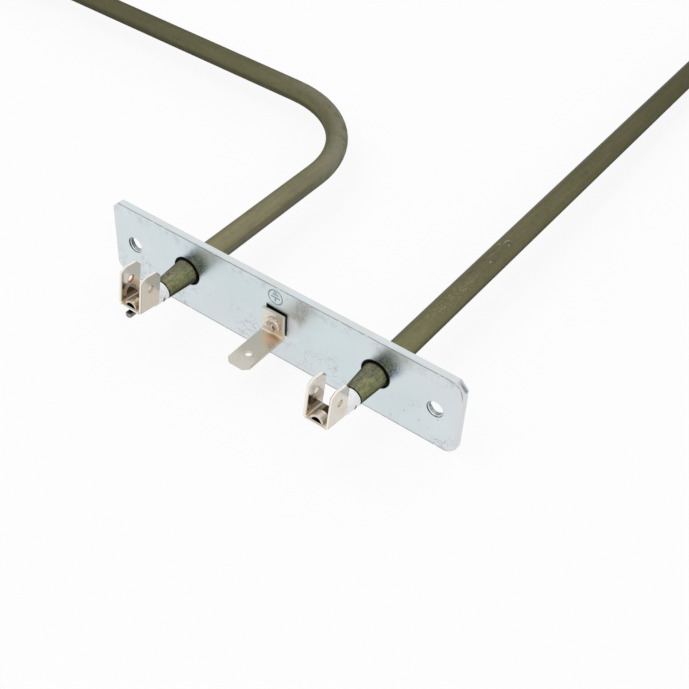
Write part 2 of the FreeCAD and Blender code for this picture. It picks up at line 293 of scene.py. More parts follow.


# painted reflection of each stub as a cloudy blue-grey patch above and beside it, and a painted dark
# reflection and a painted pale glow beside the earth tab
def zincReflections(flow, x, z, across, above, grain, coarse, onFront, rim, colour):
    wayX, wayZ = zinc["reflectionWay"]
    onward = across * wayX + above * wayZ
    aside = (across * wayZ - above * wayX).size()
    stainAndReflection = (1.0 - aside.rise(1.8 * mm, 3.8 * mm)) * onward.rise(1.0 * mm, 3.5 * mm) * onFront
    reflectionTones = flow.mixed((grain + coarse * 0.5).rise(0.66, 0.84), *zinc["stainAndReflection"])
    colour = flow.mixed(stainAndReflection * (1.0 - onward.rise(5.5 * mm, 11.0 * mm)), colour, reflectionTones)
    darkTabReflection = 1.0 - (x - z * 0.35 - zinc["darkTabReflectionX"]).size().rise(0.9 * mm, 3.0 * mm)
    darkTabReflection = darkTabReflection * z.rise(0.5 * mm, 5.0 * mm) * onFront * (1.0 - rim)
    colour = flow.mixed(darkTabReflection * (grain + coarse * 0.4).rise(0.58, 0.78) * 0.7, colour, zinc["darkTabReflection"])
    glow = (1.0 - (x - zinc["glowX"]).size().rise(0.9 * mm, 2.5 * mm)) * z.rise(-4.0 * mm, -2.0 * mm)
    glow = glow * (1.0 - z.rise(2.5 * mm, 5.0 * mm)) * onFront
    matt = glow.most(stainAndReflection * onward.rise(6.0 * mm, 12.0 * mm) * 0.5)
    return flow.mixed(glow, colour, zinc["glow"]), matt


# painted shade on the walls of the fixing holes, in the groove round each stub, and behind the earth tab
def zincHoles(flow, x, y, z, distance, colour):
    hole = zinc["screwHole"]
    bore = 1.0 - away(x.size(), z, zinc["screwX"], 0.0).rise(hole, hole + 0.04 * mm)
    colour = flow.mixed(bore, colour, zinc["bore"])
    grooveShade = 1.0 - distance.rise(zinc["tubeHole"] + 0.02 * mm, zinc["tubeHole"] + 0.12 * mm)
    return flow.mixed(grooveShade.most(tabShade(x, y, z)), colour, zinc["shade"])


def zincMaterial():
    material, flow, place = startMaterial("zincPlated")
    x, y, z = place.parts()
    broad = flow.noise(place, 30.0, 2.0)
    clouds = flow.noise(place, 120.0, 4.0, 0.6)
    grain = flow.noise(place, 2300.0, 4.0, 0.7)
    coarse = flow.noise(place, 700.0, 3.0, 0.6)
    onFront = 1.0 - y.rise(0.30 * mm, 0.45 * mm)
    colour = flow.mixed(broad.rise(0.42, 0.60), zinc["tone"], zinc["lilac"])
    colour = flow.mixed(clouds.rise(0.45, 0.70) * 0.5, colour, zinc["pale"])
    colour = flow.mixed(grain.rise(0.52, 0.80) * 0.11, colour, zinc["dull"])
    colour, pits, worms = zincWear(flow, place, z, onFront, colour)
    colour, rim, crease = zincEdges(flow, x, y, z, clouds, coarse, onFront, colour)
    across, above = fromLeg(x, z)
    distance = (across * across + above * above).root()
    colour, matt = zincReflections(flow, x, z, across, above, grain, coarse, onFront, rim, colour)
    colour = zincHoles(flow, x, y, z, distance, colour)
    rough = 0.15 + (1.0 - distance.rise(7.0 * mm, 13.0 * mm)) * 0.85
    height = (grain + coarse * 0.8) * rough - pits * 2.0 - crease * 1.5 - worms
    finishMaterial(flow, {
        "Base Color": colour,
        "Metallic": 1.0,
        "Roughness": zinc["roughness"] + grain * 0.14 + rim * 0.2 + matt * 0.32,
        "Normal": flow.bump(height, 0.5, 0.06 * mm),
    })
    return material


# annealed olive sheath: its grain runs along the tube, round every bend

sheath = {
    "tone": rgb(0.170, 0.162, 0.088),
    "pale": rgb(0.275, 0.268, 0.150),
    "brown": rgb(0.136, 0.121, 0.075),
    "dark": rgb(0.066, 0.062, 0.036),
    "grey": rgb(0.215, 0.210, 0.180),
    "bendPale": rgb(0.272, 0.264, 0.196),
    "tan": rgb(0.292, 0.256, 0.148),
    "jointShade": rgb(0.010, 0.010, 0.009),
    "scuff": rgb(0.60, 0.58, 0.48),
    "stubGreen": rgb(0.415, 0.420, 0.215),
    "stubGrey": rgb(0.390, 0.370, 0.255),
    "stubDark": rgb(0.055, 0.056, 0.028),
    "glint": rgb(0.370, 0.345, 0.175),
    # aside from the right leg's middle line, back from the plate, turn, half length and thickness
    "scuffs": [
        (0.10, 55.3, 67, 1.15, 0.12), (-0.85, 53.2, 50, 0.40, 0.16),
        (1.15, 54.6, 10, 0.22, 0.18), (1.05, 46.1, 95, 0.36, 0.14),
    ],
    "mouth": -8.40 * mm,
    "legBlend": 22.0 * mm,
    "leftLag": 94.0 * mm,
    "frontRun": 78.8 * mm,
    "rearRun": 280.0 * mm,
    "farSide": -192.25 * mm,
    "bend": 28.5 * mm,
}


# signed distance, seen from above, from the middle line of the tube
def acrossTube(x, y):
    bend = sheath["bend"]

    def rounded(a, b):
        corner = (a.most(0.0) * a.most(0.0) + b.most(0.0) * b.most(0.0)).root()
        return corner + a.most(b).least(0.0) - bend

    rightSide = rounded(x - (legs["right"] - bend), y - (sheath["rearRun"] - bend))
    middleY = (sheath["frontRun"] + sheath["rearRun"]) / 2
    halfY = (sheath["rearRun"] - sheath["frontRun"]) / 2
    loop = rounded((sheath["farSide"] + bend) - x, (y - middleY).size() - (halfY - bend))
    leg = (legs["left"] - x).most(y - middleY)
    deep = (bend - loop).most(0.0)
    wide = (bend - leg).most(0.0)
    leftSide = loop.least(leg).most(bend) - (deep * deep + wide * wide).root()
    onRight = x.over(legs["middle"])
    return rightSide * onRight + leftSide * (1.0 - onRight)


# the swaged stubs: pale lines along them, a painted highlight on the side facing the camera and painted
# shade on the lower right, and painted shade where they leave the plate and at their mouths
def stubColour(flow, place, x, y, z, mottle, speckle):
    across, above = fromLeg(x, z)
    lines = flow.noise(flow.joined(across, y * 0.10, above), 1100.0, 3.0)
    facing = (across * 0.45 + above * 0.89).rise(0.4 * mm, 2.9 * mm)
    patches = flow.noise(flow.joined(across, y * 0.5, above), 480.0, 3.0, 0.6)
    down = across * 0.87 - above * 0.5
    lower = (down + (patches - 0.5) * (1.6 * mm)).rise(-1.0 * mm, 0.1 * mm)
    light = facing * 0.50 + patches.rise(0.36, 0.66) * 0.24 + (lines - 0.5) * 1.2
    light = light + (speckle - 0.5) + (mottle - 0.5) * 0.9
    light = light * (1.0 - down.rise(1.6 * mm, 2.8 * mm) * 0.5)
    pale = flow.mixed(lower, sheath["stubGrey"], sheath["stubGreen"])
    colour = flow.mixed(light, sheath["stubDark"], pale)
    specks = 1.0 - flow.cells(place, 430.0).rise(0.05, 0.11)
    colour = flow.mixed(specks * 0.8, colour, sheath["scuff"])
    mouth = y - sheath["mouth"] + (speckle - 0.5) * (0.9 * mm)
    jointShade = y.rise(-0.38 * mm, -0.02 * mm).most(1.0 - mouth.rise(-0.10 * mm, 0.05 * mm))
    return flow.mixed(jointShade * 0.94, colour, sheath["jointShade"])


# darker away from the plate, sooner on the right leg, with painted shade underneath and a painted grey
# sheen on the sides
def sheathShade(flow, y, along, height, across, sideways, onLeft, colour):
    far = along - onLeft * sheath["leftLag"]
    colour = flow.mixed((1.0 - far.rise(-80.0 * mm, 10.0 * mm)) * 0.5, colour, sheath["pale"])
    colour = flow.mixed(far.rise(-10.0 * mm, 150.0 * mm) * 0.55, colour, sheath["dark"])
    under = 1.0 - height.rise(-0.5 * mm, 0.9 * mm)
    colour = flow.mixed(under * 0.7, colour, sheath["dark"])
    east = sideways.rise(1.5 * mm, 2.3 * mm) * (1.0 - y.rise(46.0 * mm, 62.0 * mm) * onLeft)
    band = (1.0 - (height - 0.95 * mm).size().rise(0.10 * mm, 0.60 * mm)) * east * onLeft
    colour = flow.mixed(band * 0.4, colour, sheath["dark"])
    below = (1.0 - height.rise(0.05 * mm, 0.65 * mm)) * onLeft
    below = below.most((1.0 - height.rise(-0.75 * mm, -0.25 * mm)) * (1.0 - onLeft)) * east
    greySheen = (1.0 - across.rise(-1.9 * mm, -0.9 * mm)) * (1.0 - onLeft) * height.rise(-0.6 * mm, 0.4 * mm)
    return flow.mixed((greySheen * 0.5).most(below * 0.4), colour, sheath["grey"])


# pale top of the left leg, pale patches round the outside of its bend, brown ones along it, and a tan
# painted highlight on its side facing the camera
def leftLeg(flow, place, x, y, height, across, onLeft, facing, fibres, colour):
    nearLeft = onLeft * (1.0 - y.rise(50.0 * mm, 66.0 * mm)) * height.rise(0.4 * mm, 1.4 * mm)
    colour = flow.mixed(nearLeft * 0.3, colour, sheath["bendPale"])
    outer = (1.0 - across.rise(-2.4 * mm, 3.4 * mm)) * onLeft * y.rise(40.0 * mm, 62.0 * mm)
    outer = outer * x.rise(-72.0 * mm, -50.0 * mm) * (1.0 - y.rise(84.0 * mm, 120.0 * mm))
    patchy = flow.noise(place, 300.0, 4.0, 0.65)
    colour = flow.mixed(outer * (0.3 + patchy.rise(0.36, 0.58) * 0.7), colour, sheath["bendPale"])
    colour = flow.mixed(onLeft * patchy.rise(0.50, 0.64) * 0.30, colour, sheath["brown"])
    facingHighlight = facing * onLeft * (1.0 - y.rise(54.0 * mm, 74.0 * mm)) * fibres.rise(0.42, 0.60)
    return flow.mixed(facingHighlight * 0.45, colour, sheath["tan"])


# painted highlights along the top of each leg facing the camera, near the plate, speckled further on
def legGlints(flow, y, onLeft, facing, broad, speckle, colour):
    ridge = (1.0 - y.rise(2.0 * mm, 26.0 * mm)) * facing
    colour = flow.mixed(ridge * 0.2, colour, sheath["glint"])
    speckledGlints = (1.0 - y.rise(24.0 * mm, 52.0 * mm)) * facing * (1.0 - onLeft * 0.35)
    speckledGlints = speckledGlints * speckle.rise(0.50, 0.60) * broad.rise(0.36, 0.54)
    return flow.mixed(speckledGlints * 0.55, colour, sheath["glint"])


# chance scuffs, and the few seen on the right leg
def sheathScuffs(flow, place, x, y, height, mottle):
    scuffs = (1.0 - flow.cells(place, 260.0).rise(0.02, 0.05)) * mottle.rise(0.52, 0.60)
    for offset, distance, turn, half, thick in sheath["scuffs"]:
        spotX, spotY = legs["right"] + offset * mm, distance * mm
        mark = streak(x, y, spotX, spotY, math.radians(turn), half * mm, thick * mm)
        scuffs = scuffs.most(mark * height.rise(1.0 * mm, 1.5 * mm))
    return scuffs


def sheathMaterial():
    material, flow, place = startMaterial("oxidisedSheath")
    x, y, z = place.parts()
    across = acrossTube(x, y)
    along = y - x
    height = z - legs["height"]
    streaks = flow.noise(flow.joined(across, height, along * 0.06), 1100.0, 4.0, 0.6)
    broad = flow.noise(flow.joined(across, height, along * 0.10), 300.0, 3.0, 0.55)
    mottle = flow.noise(place, 700.0, 5.0, 0.7)
    speckle = flow.noise(place, 2600.0, 3.0, 0.6)
    colour = flow.mixed(broad.rise(0.40, 0.62) * 0.55, sheath["tone"], sheath["brown"])
    colour = flow.mixed(streaks.rise(0.50, 0.74) * 0.30, colour, sheath["pale"])
    colour = flow.mixed(mottle.rise(0.50, 0.75) * 0.35, colour, sheath["dark"])
    colour = flow.mixed(speckle.rise(0.56, 0.76) * 0.30, colour, sheath["pale"])
    onLeft = 1.0 - x.rise(legs["middle"] - sheath["legBlend"], legs["middle"] + sheath["legBlend"])
    sideways, above = fromLeg(x, z)
    facing = (sideways * 0.5 + above * 0.87).rise(1.9 * mm, 2.9 * mm)
    fibres = streaks * 0.7 + mottle * 0.3
    colour = sheathShade(flow, y, along, height, across, sideways, onLeft, colour)
    colour = leftLeg(flow, place, x, y, height, across, onLeft, facing, fibres, colour)
    colour = legGlints(flow, y, onLeft, facing, broad, speckle, colour)
    colour = flow.mixed(sheathScuffs(flow, place, x, y, height, mottle) * 0.55, colour, sheath["scuff"])
    onStub = 1.0 - y.rise(0.55 * mm, 0.65 * mm)
    colour = flow.mixed(onStub, colour, stubColour(flow, place, x, y, z, mottle, speckle))
    finishMaterial(flow, {
        "Base Color": colour,
        "Metallic": 0.7,
        "Roughness": 0.40 + mottle * 0.2,
        "Specular Tint": rgb(0.30, 0.29, 0.26),
        "Specular IOR Level": 0.3,
        "Normal": flow.bump(streaks + mottle * 0.8 + speckle * 0.5, 0.35, 0.05 * mm),
    })
    return material


# warm nickel on the terminals and the earth tab

nickel = {
    "tone": rgb(0.600, 0.570, 0.505),
    "warm": rgb(0.590, 0.510, 0.420),
    "copper": rgb(0.820, 0.630, 0.440),
    "gold": rgb(0.430, 0.280, 0.140),
    "bloomAndReflection": rgb(0.900, 0.720, 0.520),
    "blade": rgb(0.720, 0.600, 0.490),
    "edge": rgb(0.900, 0.855, 0.780),
    "tintAndShade": rgb(0.135, 0.086, 0.043),
    "dark": rgb(0.040, 0.025, 0.014),
    "paleWallReflection": rgb(0.86, 0.80, 0.72),
    "roughness": 0.12,
    "lean": math.radians(7.5),
    "base": 2.1 * mm,
    "tab": 3.0 * mm,
    "hole": (3.1 * mm, 5.95 * mm),
    "arch": (3.3 * mm, 2.6 * mm),
    "archRadius": 1.95 * mm,
}

terminals = {
    "terminal_left": {
        "x": -26.75 * mm, "y": -19.5 * mm, "arch": 1.0, "tintAndShade": 0.95, "bridge": 0.85, "lines": 0.55,
        "tone": rgb(0.585, 0.535, 0.455), "holeWalls": (rgb(0.40, 0.085, 0.012), rgb(0.46, 0.36, 0.25)),
    },
    "terminal_right": {
        "x": 27.25 * mm, "y": -21.2 * mm, "arch": 0.25, "tintAndShade": 0.88, "bridge": 0.35, "lines": 0.25,
        "tone": rgb(0.690, 0.650, 0.585), "holeWalls": (rgb(0.60, 0.52, 0.42), rgb(0.52, 0.48, 0.36)),
    },
}


def nickelGrain(flow, place, tone):
    clouds = flow.noise(place, 300.0, 3.0, 0.6)
    grain = flow.noise(place, 2600.0, 3.0, 0.6)
    return flow.mixed(clouds.rise(0.45, 0.75) * 0.6, tone, nickel["warm"]), grain


def earthTabMaterial():
    material, flow, place = startMaterial("warmNickel")
    x, y, z = place.parts()
    colour, grain = nickelGrain(flow, place, nickel["tone"])

    # copper-coloured bloom and a painted warm reflection where the blade leaves the fold
    blotch = flow.noise(place, 420.0, 4.0, 0.65)
    bloomAndReflection = y.rise(-5.6 * mm, -3.6 * mm) * (x + blotch * (3.0 * mm)).rise(-1.4 * mm, 1.6 * mm)
    bloomAndReflection = bloomAndReflection * (1.0 - z.rise(-2.2 * mm, -1.2 * mm))
    colour = flow.mixed(bloomAndReflection * (0.35 + blotch * 0.9), colour, nickel["copper"])

    # pinkish blade, brown blotches near the fold, a painted highlight along the inner bend under it, and a
    # bright upright
    middle = y.rise(-12.0 * mm, -8.0 * mm) * (1.0 - z.rise(-2.6 * mm, -2.2 * mm))
    colour = flow.mixed(middle * (1.0 - bloomAndReflection) * 0.7, colour, nickel["blade"])
    burn = blotch.rise(0.60, 0.68) * y.rise(-3.2 * mm, -2.2 * mm) * (1.0 - z.rise(-2.2 * mm, -1.4 * mm))
    colour = flow.mixed(burn * 0.5, colour, nickel["tintAndShade"])
    line = spot(y, z, -1.62 * mm, -2.40 * mm, 0.24 * mm) * blotch.rise(0.28, 0.36)
    colour = flow.mixed(line, colour, nickel["edge"])
    bright = z.rise(-1.9 * mm, -1.0 * mm) * (1.0 - x.rise(-2.4 * mm, 1.5 * mm))
    colour = flow.mixed(bright * 0.45, colour, nickel["edge"])

    # painted shade below the blade's edge, and between the upright and the plate
    below = x.rise(3.05 * mm, 3.12 * mm) * (1.0 - z.rise(-3.05 * mm, -2.90 * mm))
    colour = flow.mixed(below * 0.6, colour, nickel["tintAndShade"])
    shade = y.rise(-0.70 * mm, -0.46 * mm) * z.rise(-3.4 * mm, -2.6 * mm)
    colour = flow.mixed(shade * 0.9, colour, nickel["tintAndShade"])
    finishMaterial(flow, {
        "Base Color": colour,
        "Metallic": 1.0,
        "Roughness": nickel["roughness"] + grain * 0.08 + bloomAndReflection * 0.22,
        "Normal": flow.bump(grain + blotch * 2.5, 0.18, 0.04 * mm),
    })
    return material


# a terminal's own axes: across it, back from its front edge, and up from its underside
def onTerminal(piece, x, y, z):
    cosine = math.cos(nickel["lean"])
    sine = math.sin(nickel["lean"])
    across = x - piece["x"]
    back = (y - piece["y"]) * cosine - (z - nickel["base"]) * sine
    up = (y - piece["y"]) * sine + (z - nickel["base"]) * cosine
    return across, back, up


# brighter left tab and sheared edges, a dark line along the base's edge and beside the tabs'
def terminalEdges(flow, piece, sideways, across, back, up, colour):
    colour = flow.mixed((1.0 - sideways.rise(-2.7 * mm, -2.5 * mm)) * 0.4, colour, nickel["edge"])
    fromTab = (across - nickel["tab"]).size()
    edge = 1.0 - fromTab.rise(0.32 * mm, 0.38 * mm)
    front = 1.0 - back.rise(0.02 * mm, 0.22 * mm)
    colour = flow.mixed(edge.most(front) * 0.9, colour, nickel["edge"])
    line = 1.0 - (up - 0.68 * mm).size().rise(0.06 * mm, 0.16 * mm)
    line = line * (1.0 - across.rise(2.4 * mm, 2.7 * mm))
    colour = flow.mixed(line * front * 0.75, colour, nickel["tintAndShade"])
    border = fromTab.rise(0.20 * mm, 0.30 * mm) * (1.0 - fromTab.rise(0.35 * mm, 0.39 * mm))
    return flow.mixed(border * piece["lines"], colour, nickel["tintAndShade"])


# heat tint of the weld and painted dark reflection: golden at the front of the base, darker behind, in
# patches over the bridge, with painted shade in the slot
def heatTintAndReflection(flow, piece, blotch, across, back, up, colour):
    wander = (blotch - 0.5) * (0.9 * mm)
    onBase = (1.0 - up.rise(0.84 * mm, 1.05 * mm)) * (1.0 - across.rise(2.1 * mm, 2.75 * mm))
    tintAndShade = onBase * (back + wander).rise(0.15 * mm, 0.6 * mm)
    onBridge = (1.0 - up.rise(2.35 * mm, 2.5 * mm)) * (1.0 - across.rise(1.8 * mm, 2.2 * mm))
    onBridge = onBridge * (back + wander * 0.4).rise(0.62 * mm, 1.00 * mm)
    tintAndShade = tintAndShade.most(onBridge * blotch.rise(0.38, 0.54) * piece["bridge"])
    tintAndShadeTone = flow.mixed((back + wander).rise(1.0 * mm, 3.2 * mm), nickel["gold"], nickel["tintAndShade"])
    colour = flow.mixed(tintAndShade * piece["tintAndShade"], colour, tintAndShadeTone)
    inSlot = (1.0 - up.rise(1.0 * mm, 1.25 * mm)) * (1.0 - across.rise(1.25 * mm, 1.4 * mm))
    inSlot = inSlot * back.rise(0.37 * mm, 0.42 * mm)
    return flow.mixed(inSlot, colour, nickel["dark"])


# pale arch of painted reflection on the left tab's inner face
def tabArch(piece, sideways, back, up):
    outward = away(back, up, *nickel["arch"]) - nickel["archRadius"]
    arch = 1.0 - (outward * 0.45).most(0.0 - outward).rise(0.15 * mm, 0.65 * mm)
    arch = arch * sideways.rise(-2.72 * mm, -2.66 * mm) * (1.0 - sideways.rise(-2.50 * mm, -2.40 * mm))
    return arch * up.rise(1.5 * mm, 2.4 * mm) * piece["arch"]


# dark ring round the left tab's hole, and the walls of both holes: on the left tab's, a painted pale
# reflection on the far part and painted shade at the top
def tabHoles(flow, piece, sideways, back, up, colour):
    fromHole = away(back, up, *nickel["hole"])
    ring = 1.0 - fromHole.rise(0.96 * mm, 1.16 * mm)
    ring = ring * (1.0 - sideways.rise(-2.50 * mm, -2.40 * mm)) * (1.0 - back.rise(2.9 * mm, 3.6 * mm))
    colour = flow.mixed(ring * piece["lines"] * 1.4, colour, nickel["tintAndShade"])
    leftWall, rightWall = piece["holeWalls"]
    walls = flow.mixed(sideways.rise(-3.25 * mm, -2.90 * mm), nickel["paleWallReflection"], leftWall)
    walls = flow.mixed(up.rise(5.8 * mm, 6.3 * mm) * piece["lines"] * 1.5, walls, nickel["dark"])
    walls = flow.mixed(sideways.rise(-0.5 * mm, 0.5 * mm), walls, rightWall)
    return flow.mixed(1.0 - fromHole.rise(0.905 * mm, 0.94 * mm), colour, walls)


def terminalMaterial(name):
    piece = terminals[name]
    material, flow, place = startMaterial(name + "_nickel")
    sideways, back, up = onTerminal(piece, *place.parts())
    across = sideways.size()
    blotch = flow.noise(place, 700.0, 3.0)
    arch = tabArch(piece, sideways, back, up)
    colour, grain = nickelGrain(flow, place, piece["tone"])
    colour = terminalEdges(flow, piece, sideways, across, back, up, colour)
    colour = heatTintAndReflection(flow, piece, blotch, across, back, up, colour)
    colour = flow.mixed(arch, colour, nickel["bloomAndReflection"])
    colour = tabHoles(flow, piece, sideways, back, up, colour)
    finishMaterial(flow, {
        "Base Color": colour,
        "Metallic": 1.0,
        "Roughness": 0.08 + grain * 0.07 + arch * 0.5,
        "Normal": flow.bump(grain + blotch, 0.06, 0.04 * mm),
    })
    return material


# rolled head of the earth rivet, with a groove, a pit and a small dark dot

rivet = {
    "tone": rgb(0.62, 0.53, 0.44),
    "pale": rgb(0.86, 0.79, 0.69),
    "dark": rgb(0.07, 0.038, 0.028),
    "x": 0.15 * mm,
    "z": 0.3 * mm,
    "groove": 1.25 * mm,
    "pit": (0.75 * mm, 0.05 * mm, 0.48 * mm),
    "dot": (0.05 * mm, 1.45 * mm, 0.16 * mm),
}


def rivetMaterial():
    material, flow, place = startMaterial("rolledRivet")
    x, _, z = place.parts()
    radius = away(x, z, rivet["x"], rivet["z"])
    lumps = flow.noise(place, 1000.0, 3.0, 0.6)
    grain = flow.noise(place, 2600.0, 3.0)
    right = (x + z * 0.4).rise(-0.9 * mm, 0.4 * mm)
    wavy = radius + (lumps - 0.5) * (0.7 * mm)
    groove = (1.0 - (wavy - rivet["groove"]).size().rise(0.05 * mm, 0.22 * mm)) * right
    pit = spot(x, z + (lumps - 0.5) * (0.5 * mm), *rivet["pit"])
    dot = spot(x, z, *rivet["dot"])
    # painted highlight on the left of the rim
    rimHighlight = radius.rise(1.3 * mm, 1.6 * mm) * (1.0 - x.rise(-1.0 * mm, -0.2 * mm))
    colour = flow.mixed(lumps.rise(0.42, 0.64) * 0.8, rivet["tone"], rivet["pale"])
    colour = flow.mixed(rimHighlight * 0.8, colour, rivet["pale"])
    colour = flow.mixed((groove * 0.5).most(pit * 0.9).most(dot * 0.6), colour, rivet["dark"])
    finishMaterial(flow, {
        "Base Color": colour,
        "Metallic": 1.0,
        "Roughness": 0.16 + grain * 0.14,
        "Normal": flow.bump(lumps * 3.0 + grain * 0.4 - groove - pit * 1.5, 0.8, 0.20 * mm),
    })
    return material


# white ceramic bushes

ceramic = {
    "tone": rgb(0.985, 0.985, 0.995),
    "grey": rgb(0.90, 0.90, 0.92),
    "stainAndReflection": rgb(0.17, 0.10, 0.05),
    "groove": -10.35 * mm,
}


# fired white, with a burnt fleck low on the right of the groove
def ceramicMaterial():
    material, flow, place = startMaterial("firedCeramic")
    x, y, z = place.parts()
    clouds = flow.noise(place, 500.0, 4.0)
    grain = flow.noise(place, 4200.0, 3.0)
    across, above = fromLeg(x, z)
    groove = y - ceramic["groove"] + (clouds - 0.5) * (0.6 * mm)
    groove = 1.0 - groove.size().rise(0.18 * mm, 0.48 * mm)
    patch = across.rise(1.5 * mm, 2.0 * mm) * (1.0 - above.rise(-0.6 * mm, 0.4 * mm))
    colour = flow.mixed(clouds.rise(0.45, 0.75) * 0.5, ceramic["tone"], ceramic["grey"])
    colour = flow.mixed(groove * patch * 0.92, colour, ceramic["stainAndReflection"])
    finishMaterial(flow, {
        "Base Color": colour,
        "Roughness": 0.35 + grain * 0.2,
        "Normal": flow.bump(grain, 0.15, 0.05 * mm),
    })
    return material


# drawn steel of the cold pins

steel = {
    "tone": rgb(0.36, 0.35, 0.34),
    "dark": rgb(0.14, 0.13, 0.125),
    "tintAndShade": rgb(0.05, 0.04, 0.035),
    "clean": rgb(0.72, 0.68, 0.62),
}


# heat tint and painted shade on top, where the terminal sits, and clean near its bush
def pinMaterial():
    material, flow, place = startMaterial("drawnPin")
    x, y, z = place.parts()
    drawn = flow.noise(flow.joined(x, y * 0.06, z), 3800.0, 3.0)
    marks = flow.noise(place, 900.0, 4.0)
    colour = flow.mixed(drawn.rise(0.4, 0.7), steel["tone"], steel["dark"])
    colour = flow.mixed(z.rise(1.15 * mm, 1.40 * mm), colour, steel["tintAndShade"])
    colour = flow.mixed(y.rise(-14.8 * mm, -13.2 * mm), colour, steel["clean"])
    finishMaterial(flow, {
        "Base Color": colour,
        "Metallic": 1.0,
        "Roughness": 0.32 + marks * 0.2,
        "Normal": flow.bump(drawn + marks, 0.3, 0.04 * mm),
    })
    return material


# the three fillings of the tube, which show only where it is cut open

fillings = {
    "packedPowder": {
        "nodes": ["insulation_fill"], "roughness": 0.8, "metallic": 0.0, "scale": 2600.0,
        "tone": rgb(0.72, 0.69, 0.62), "shade": rgb(0.58, 0.55, 0.49),
    },
    "windingWire": {
        "nodes": ["resistance_coil"], "roughness": 0.4, "metallic": 1.0, "scale": 1800.0,
        "tone": rgb(0.34, 0.33, 0.31), "shade": rgb(0.16, 0.15, 0.14),
    },
    "curedSeal": {
        "nodes": ["end_seal_left", "end_seal_right"], "roughness": 0.45, "metallic": 0.0, "scale": 1400.0,
        "tone": rgb(0.52, 0.48, 0.40), "shade": rgb(0.42, 0.38, 0.31),
    },
}


def fillingMaterial(name):
    filling = fillings[name]
    material, flow, place = startMaterial(name)
    grain = flow.noise(place, filling["scale"], 5.0, 0.7)
    colour = flow.mixed(grain.rise(0.35, 0.7), filling["tone"], filling["shade"])
    finishMaterial(flow, {
        "Base Color": colour,
        "Metallic": filling["metallic"],
        "Roughness": filling["roughness"] + grain * 0.1,
        "Normal": flow.bump(grain, 0.4, 0.08 * mm),
    })
    return material


def dress(material, *names):
    for name in names:
        for slot in nodes[name].material_slots:
            slot.material = material


def dressNodes():
    dress(zincMaterial(), "flange_plate")
    dress(sheathMaterial(), "heater_sheath")
    dress(earthTabMaterial(), "earth_tab")
    for name in terminals:
        dress(terminalMaterial(name), name)
    dress(rivetMaterial(), "earth_rivet")
    dress(ceramicMaterial(), "insulator_left", "insulator_right")
    dress(pinMaterial(), "cold_pin_left", "cold_pin_right")
    for name in fillings:
        dress(fillingMaterial(name), *fillings[name]["nodes"])
    print("materials on", len(nodes), "nodes")


# a closed loop of edges, ready to spin
def closedLoop(work, points):
    corners = [work.verts.new(point) for point in points]
    edges = [work.edges.new(pair) for pair in zip(corners, corners[1:] + corners[:1])]
    return corners + edges


# a finished mesh becomes a piece that rides with the object
def placePiece(name, work, material):
    bmesh.ops.remove_doubles(work, verts=work.verts, dist=0.0005 * mm)
    bmesh.ops.recalc_face_normals(work, faces=work.faces)
    mesh = bpy.data.meshes.new(name)
    work.to_mesh(mesh)
    work.free()
    mesh.materials.append(material)
    piece = addObject(name, mesh)
    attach(piece, "root")


# thread inside each fixing hole, as a ridge that winds through the plate

thread = {
    "crest": 1.76 * mm, "root": 2.13 * mm, "pitch": 0.5 * mm, "depth": 1.53 * mm, "start": 0.11 * mm,
    "halfFoot": 0.16 * mm, "halfCrest": 0.024 * mm, "stepsPerTurn": 40,  # half widths along the screw
    "pale": rgb(0.88, 0.92, 0.92), "dull": rgb(0.58, 0.68, 0.67), "dark": rgb(0.13, 0.19, 0.19),
    "shade": rgb(0.03, 0.045, 0.045), "glare": rgb(0.95, 0.98, 0.98),
}


def threadRidge(name, centreX, material):
    work = bmesh.new()
    half = thread["halfFoot"]
    y = thread["start"] + half
    outline = closedLoop(work, [
        (centreX + thread["root"], y - half, 0),
        (centreX + thread["crest"], y - thread["halfCrest"], 0),
        (centreX + thread["crest"], y + thread["halfCrest"], 0),
        (centreX + thread["root"], y + half, 0),
    ])
    travel = thread["depth"] - 2 * half
    turns = travel / thread["pitch"]
    steps = round(thread["stepsPerTurn"] * turns)
    bmesh.ops.spin(
        work, geom=outline, cent=(centreX, 0, 0), axis=(0, 1, 0),
        dvec=(0, travel / steps, 0), angle=math.tau * turns,
        steps=steps, use_merge=False, use_duplicate=False,
    )
    bmesh.ops.holes_fill(work, edges=work.edges, sides=4)
    placePiece(name, work, material)


# earth sign stamped beside the earth tab

sign = {
    "x": -0.2 * mm, "z": 7.5 * mm, "ringRadius": 1.97 * mm, "line": 0.36 * mm, "proud": 0.07 * mm,
    "bars": [(-0.09, 2.6), (0.72, 1.55), (1.40, 0.8)], "stemEnd": -1.25, "bevel": 0.05 * mm, "steps": 48,
    "dark": rgb(0.26, 0.33, 0.37), "pale": rgb(0.42, 0.50, 0.54),
}


def signBar(work, x0, x1, z0, z1):
    made = bmesh.ops.create_cube(work, size=1.0)
    size = (x1 - x0, 2 * sign["proud"], z1 - z0)
    bmesh.ops.scale(work, verts=made["verts"], vec=size)
    middle = ((x0 + x1) / 2, 0, (z0 + z1) / 2)
    bmesh.ops.translate(work, verts=made["verts"], vec=middle)
    edges = [e for e in work.edges if all(v in made["verts"] for v in e.verts)]
    front = [e for e in edges if all(v.co.y < 0 for v in e.verts)]
    bmesh.ops.bevel(
        work, geom=front, offset=sign["bevel"], affect="EDGES", segments=2, profile=0.5, material=-1
    )


